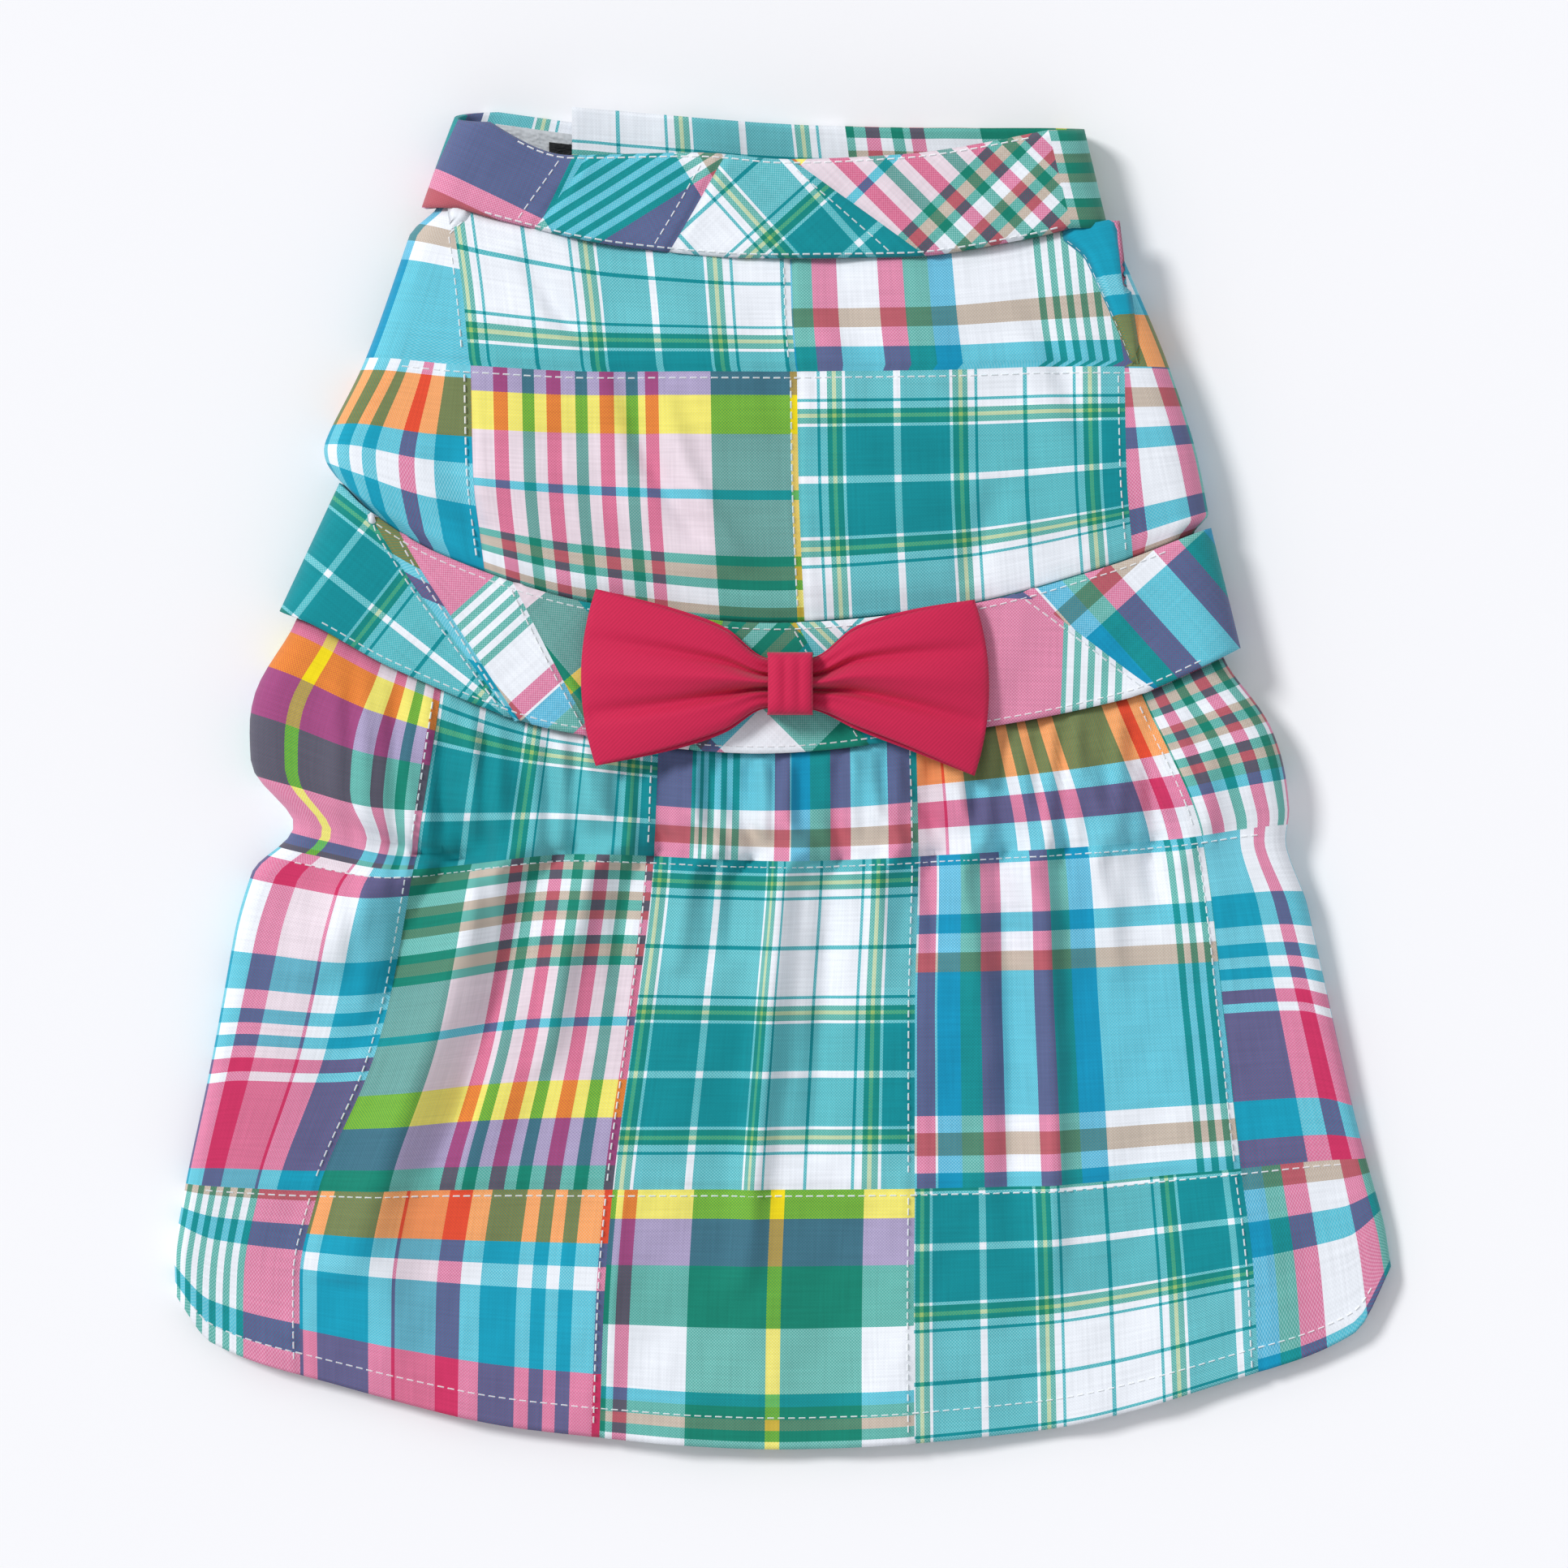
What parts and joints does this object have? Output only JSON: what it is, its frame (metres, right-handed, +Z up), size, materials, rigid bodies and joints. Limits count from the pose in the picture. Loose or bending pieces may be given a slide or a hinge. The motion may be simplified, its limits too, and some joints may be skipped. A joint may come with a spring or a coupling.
{
  "type": "dog dress",
  "caption": "Small dog's dress of patchwork plaid cotton with a gathered skirt, a bow on its waistband and a neckband that closes with hook-and-loop tape, lying flat",
  "frame": {"origin": "middle of the dress's outline, on the surface that it lies on", "axes": "+Z up from the surface, +Y from the hem towards the neck, +X towards the right of the picture"},
  "size_m": [0.2853, 0.3147, 0.0295],
  "materials": {
    "patchwork_cotton": "plain-woven madras cotton, soft and unbrushed",
    "bow_twill": "fine cotton twill, slight sheen",
    "loop_tape": "brushed nylon loops",
    "hook_tape": "moulded nylon hooks"
  },
  "bodies": {
    "root": {"neckband": "patchwork_cotton", "neck_loop_tape": "loop_tape", "neck_hook_tape": "hook_tape", "bodice": "patchwork_cotton", "belly_tape": "loop_tape", "waistband": "patchwork_cotton", "skirt": "patchwork_cotton", "bow_loops": "bow_twill", "bow_knot": "bow_twill"}
  },
  "joints": []
}
